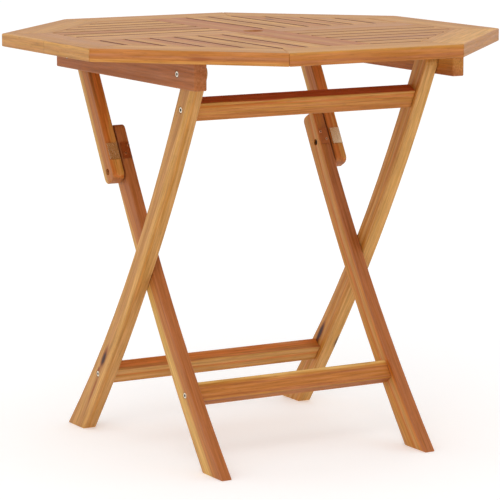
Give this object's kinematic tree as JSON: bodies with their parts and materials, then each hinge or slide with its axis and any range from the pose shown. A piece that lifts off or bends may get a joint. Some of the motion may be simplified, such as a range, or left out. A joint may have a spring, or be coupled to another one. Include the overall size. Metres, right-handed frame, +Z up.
{
  "type": "folding garden table",
  "caption": "Folding wooden garden table: octagonal slatted top with an umbrella hole, on crossing leg frames that fold up under it as the knees of two struts bend.",
  "frame": {"origin": "on the floor, under the middle of the octagonal top", "axes": "+Z up, +X along the rails toward the table's right, -Y toward the side with the outer legs' hinges, which is the front"},
  "size_m": [0.85, 0.85, 0.76],
  "materials": {
    "top_wood": "oiled, satin, tan brown with fine grain",
    "leg_wood": "oiled, satin, golden brown with yellow sapwood streaks",
    "apron_wood": "oiled, satin, reddish brown",
    "zinc_steel": "zinc plated, satin",
    "plate_steel": "bright rolled sheet"
  },
  "bodies": {
    "top": {"rim_board_right": "top_wood", "rim_board_back_right": "top_wood", "rim_board_back": "top_wood", "rim_board_back_left": "top_wood", "rim_board_left": "top_wood", "rim_board_front_left": "top_wood", "rim_board_front": "top_wood", "rim_board_front_right": "top_wood", "cross_board_long": "top_wood", "cross_board_left": "top_wood", "cross_board_right": "top_wood", "slat_front_left_1": "top_wood", "slat_front_left_2": "top_wood", "slat_front_left_3": "top_wood", "slat_front_left_4": "top_wood", "slat_front_left_5": "top_wood", "slat_front_left_6": "top_wood", "slat_front_right_1": "top_wood", "slat_front_right_2": "top_wood", "slat_front_right_3": "top_wood", "slat_front_right_4": "top_wood", "slat_front_right_5": "top_wood", "slat_front_right_6": "top_wood", "slat_back_right_1": "top_wood", "slat_back_right_2": "top_wood", "slat_back_right_3": "top_wood", "slat_back_right_4": "top_wood", "slat_back_right_5": "top_wood", "slat_back_right_6": "top_wood", "slat_back_left_1": "top_wood", "slat_back_left_2": "top_wood", "slat_back_left_3": "top_wood", "slat_back_left_4": "top_wood", "slat_back_left_5": "top_wood", "slat_back_left_6": "top_wood", "apron_left": "apron_wood", "apron_right": "apron_wood", "outer_leg_bolt_left": "zinc_steel", "outer_leg_bolt_right": "zinc_steel", "strut_bolt_left": "zinc_steel", "strut_bolt_right": "zinc_steel"},
    "outer_frame": {"outer_leg_left": "leg_wood", "outer_leg_right": "leg_wood", "outer_upper_rail": "leg_wood", "outer_lower_rail": "leg_wood", "crossing_pin_left": "zinc_steel", "crossing_pin_right": "zinc_steel"},
    "inner_frame": {"inner_leg_left": "leg_wood", "inner_leg_right": "leg_wood", "inner_rail": "leg_wood", "knee_bolt_left": "zinc_steel", "knee_bolt_right": "zinc_steel", "leg_plate_left": "plate_steel", "leg_plate_right": "plate_steel"},
    "left_strut": {"strut_left": "leg_wood", "strut_plate_left": "plate_steel"},
    "right_strut": {"strut_right": "leg_wood", "strut_plate_right": "plate_steel"}
  },
  "joints": [
    {"name": "outer_frame_fold", "type": "hinge", "parent": "top", "child": "outer_frame", "pos_m": [0, -0.215, 0.712], "axis": [1, 0, 0], "range_deg": [0, 38]},
    {"name": "inner_frame_fold", "type": "hinge", "parent": "outer_frame", "child": "inner_frame", "pos_m": [0, 0.005, 0.329], "axis": [1, 0, 0], "range_deg": [0, 44.55]},
    {"name": "left_strut_fold", "type": "hinge", "parent": "top", "child": "left_strut", "pos_m": [0, 0.213, 0.7105], "axis": [1, 0, 0], "range_deg": [-52, 0]},
    {"name": "right_strut_fold", "type": "hinge", "parent": "top", "child": "right_strut", "pos_m": [0, 0.213, 0.7105], "axis": [1, 0, 0], "range_deg": [-52, 0]}
  ],
  "couplings": [
    {"joint": "inner_frame_fold", "follows": "outer_frame_fold", "ratio": 1.1711},
    {"joint": "left_strut_fold", "follows": "outer_frame_fold", "ratio": -1.3675},
    {"joint": "right_strut_fold", "follows": "outer_frame_fold", "ratio": -1.3675}
  ]
}
